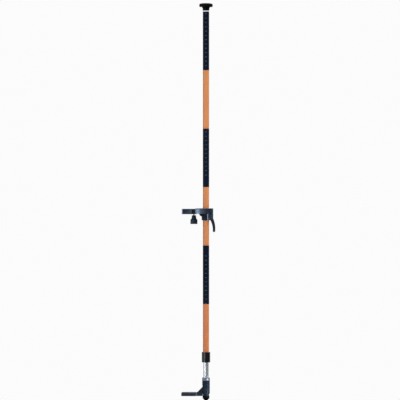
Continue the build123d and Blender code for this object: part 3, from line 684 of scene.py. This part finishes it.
def addMark(bm, radius, centreHeight):
    sweep = marks["width"] / radius
    low = bm.verts.new((0, -radius, centreHeight - marks["height"] / 2))
    high = bm.verts.new((0, -radius, centreHeight + marks["height"] / 2))
    side = bm.edges.new((low, high))
    turn = Matrix.Rotation(-sweep / 2, 3, "Z")
    bmesh.ops.rotate(bm, verts=[low, high], cent=(0, 0, 0), matrix=turn)
    bmesh.ops.spin(
        bm, geom=[low, high, side], cent=(0, 0, 0), axis=(0, 0, 1), dvec=(0, 0, 0),
        angle=sweep, steps=marks["steps"], use_merge=False, use_duplicate=False,
    )


for band, (firstDrop, count) in marks["bands"].items():
    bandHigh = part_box(band)[1]
    markRadius = bandHigh.x + marks["thickness"] / 2
    bm = bmesh.new()
    for index in range(count):
        addMark(bm, markRadius, bandHigh.z - firstDrop - index * marks["pitch"])
    bmesh.ops.recalc_face_normals(bm, faces=bm.faces)
    bmesh.ops.solidify(bm, geom=bm.faces[:], thickness=marks["thickness"])
    makePiece(band.replace("band", "marks"), bm, "pole", markInk)
print("marks printed on", len(marks["bands"]), "bands")


# studio: pale floor, white backdrop and a soft sky, with a tall strip on the left for the gloss,
# a wide fill in front for the colours and a low strip by the foot
studio = {
    "white": 0.97,
    "floorSize": 2.6,
    "floorCells": 4,
    "floorDrop": 0.0004,
    "floorShine": 0.22,
    "floorGrey": 0.35,
    "shadowCore": 0.08,
    "shadowReach": 0.32,
    "shadowShare": 0.16,
    "roomDark": 0.03,
    "roomLeft": 1.20,
    "skyLeft": 0.05,
    "skyRight": 4.6,
    "overhead": 2.5,
    "rimRight": 0.6,
    "keyAngle": -42,
    "keyDistance": 1.8,
    "keySize": (0.17, 2.8),
    "keyRadiance": 10.5,
    "keyHeight": 1.03,
    "keyColour": (0.80, 0.90, 1.0),
    "keySpread": 180,
    "keyLights": "gloss",
    "fillAngle": 20,
    "fillDistance": 2.2,
    "fillSize": (1.2, 2.6),
    "fillRadiance": 3.2,
    "fillHeight": 1.03,
    "fillColour": (1.0, 1.0, 1.0),
    "fillSpread": 180,
    "fillLights": "colours",
    "lowAngle": 55,
    "lowDistance": 0.35,
    "lowSize": (0.18, 0.08),
    "lowRadiance": 1.4,
    "lowHeight": 0.034,
    "lowColour": (0.80, 0.90, 1.0),
    "lowSpread": 26,
    "lowLights": "both",
}


def makeFloor():
    mesh = bpy.data.meshes.new("floor")
    bm = bmesh.new()
    cells = studio["floorCells"]
    bmesh.ops.create_grid(bm, x_segments=cells, y_segments=cells, size=studio["floorSize"])
    bmesh.ops.translate(bm, verts=bm.verts, vec=(0, 0, -studio["floorDrop"]))
    bm.to_mesh(mesh)
    bm.free()
    floor = bpy.data.objects.new("floor", mesh)
    bpy.context.scene.collection.objects.link(floor)
    material = bpy.data.materials.new("paleFloor")
    material.use_nodes = True
    tree = material.node_tree
    tree.nodes.remove(tree.nodes["Principled BSDF"])
    output = tree.nodes["Material Output"]
    coords = addNode(tree, "TexCoord").outputs["Object"]
    distance = addNode(tree, "VectorMath", operation="LENGTH")
    tree.links.new(coords, distance.inputs[0])
    core, reach = studio["shadowCore"], studio["shadowReach"]
    share = spread(tree, distance.outputs["Value"], core, reach, 1 - studio["shadowShare"], 1.0)
    path = addNode(tree, "LightPath")
    camera, glossy = path.outputs["Is Camera Ray"], path.outputs["Is Glossy Ray"]
    # white to the camera but for the shadow, and dim in reflections
    glow = addNode(tree, "Emission", {"Color": (1, 1, 1, 1)})
    shine = calculate(tree, "MULTIPLY", glossy, studio["floorShine"])
    strength = calculate(tree, "MULTIPLY", camera, studio["white"])
    tree.links.new(calculate(tree, "ADD", strength, shine), glow.inputs["Strength"])
    matt = addNode(tree, "BsdfDiffuse", {"Color": (*[studio["floorGrey"]] * 3, 1)})  # lit to about white
    mix = addNode(tree, "MixShader")
    seen = calculate(tree, "MULTIPLY", camera, share)
    tree.links.new(calculate(tree, "MAXIMUM", seen, glossy), mix.inputs[0])
    tree.links.new(matt.outputs[0], mix.inputs[1])
    tree.links.new(glow.outputs[0], mix.inputs[2])
    tree.links.new(mix.outputs[0], output.inputs["Surface"])
    mesh.materials.append(material)


room = {  # how far along X, Y or Z each part of the room sets in and is full
    "leftAlongX": (0.20, -0.95),
    "frontAlongY": (0.05, 0.45),
    "behindAlongY": (0.60, 0.85),
    "rimAlongX": (0.70, 0.85),
    "rimAlongY": (0.10, 0.30),
    "skyAlongX": (0.0, 0.7),
    "overheadAlongZ": (0.65, 0.85),
    "skyAlongZ": (0.28, 0.60),
}


def makeWorld():
    world = bpy.data.worlds.new("studio")
    bpy.context.scene.world = world
    world.use_nodes = True
    tree = world.node_tree
    background = tree.nodes["Background"]
    direction = addNode(tree, "SeparateXYZ")
    tree.links.new(addNode(tree, "TexCoord").outputs["Generated"], direction.inputs["Vector"])
    toRight, toBack, upwards = (direction.outputs[axis] for axis in "XYZ")
    # dark in front and on the right, brighter on the left, white behind, and a soft sky above
    left = spread(tree, toRight, *room["leftAlongX"], studio["roomDark"], studio["roomLeft"])
    side = blend(tree, spread(tree, toBack, *room["frontAlongY"]), left, studio["roomDark"])
    behind = spread(tree, toBack, *room["behindAlongY"])
    around = blend(tree, behind, side, studio["white"])
    rimAcross, rimBack = spread(tree, toRight, *room["rimAlongX"]), spread(tree, toBack, *room["rimAlongY"])
    around = blend(tree, calculate(tree, "MULTIPLY", rimAcross, rimBack), around, studio["rimRight"])
    sky = spread(tree, toRight, *room["skyAlongX"], studio["skyLeft"], studio["skyRight"])
    sky = blend(tree, spread(tree, upwards, *room["overheadAlongZ"]), sky, studio["overhead"])
    light = blend(tree, spread(tree, upwards, *room["skyAlongZ"]), around, sky)
    path = addNode(tree, "LightPath")
    camera, through = path.outputs["Is Camera Ray"], path.outputs["Is Transmission Ray"]
    backdrop = calculate(tree, "MAXIMUM", camera, through)
    strength = blend(tree, backdrop, light, studio["white"])
    background.inputs["Color"].default_value = (1, 1, 1, 1)
    tree.links.new(strength, background.inputs["Strength"])


def makeStrip(name):
    angle, distance, height = (studio[name + part] for part in ("Angle", "Distance", "Height"))
    size = studio[name + "Size"]
    light = bpy.data.lights.new(name + "Strip", "AREA")
    light.shape = "RECTANGLE"
    light.size, light.size_y = size
    light.color = studio[name + "Colour"]
    light.energy = studio[name + "Radiance"] * math.pi * size[0] * size[1]
    light.spread = math.radians(studio[name + "Spread"])
    lamp = bpy.data.objects.new(name + "Strip", light)
    bpy.context.scene.collection.objects.link(lamp)
    turn = math.radians(angle)
    lamp.location = (distance * math.sin(turn), -distance * math.cos(turn), height)
    lamp.rotation_euler = (math.pi / 2, 0, turn)
    lamp.visible_camera = False
    lamp.visible_diffuse = studio[name + "Lights"] != "gloss"
    lamp.visible_glossy = studio[name + "Lights"] != "colours"


makeFloor()
makeWorld()
makeStrip("key")
makeStrip("fill")
makeStrip("low")
print("studio lit")


# camera square to the pole, far away, so that nothing shows perspective
shot = {
    "centre": (-0.0308, 1.0371),
    "width": 2.0536,
    "distance": 20.0,
    "sensor": 36,
    "clipEnd": 200,
}
cameraData = bpy.data.cameras.new("camera")
cameraData.sensor_width = shot["sensor"]
cameraData.lens = shot["sensor"] * shot["distance"] / shot["width"]
cameraData.clip_end = shot["clipEnd"]
camera = bpy.data.objects.new("camera", cameraData)
bpy.context.scene.collection.objects.link(camera)
camera.location = (shot["centre"][0], -shot["distance"], shot["centre"][1])
camera.rotation_euler = (math.pi / 2, 0, 0)
bpy.context.scene.camera = camera
bpy.context.scene.view_settings.view_transform = "Standard"
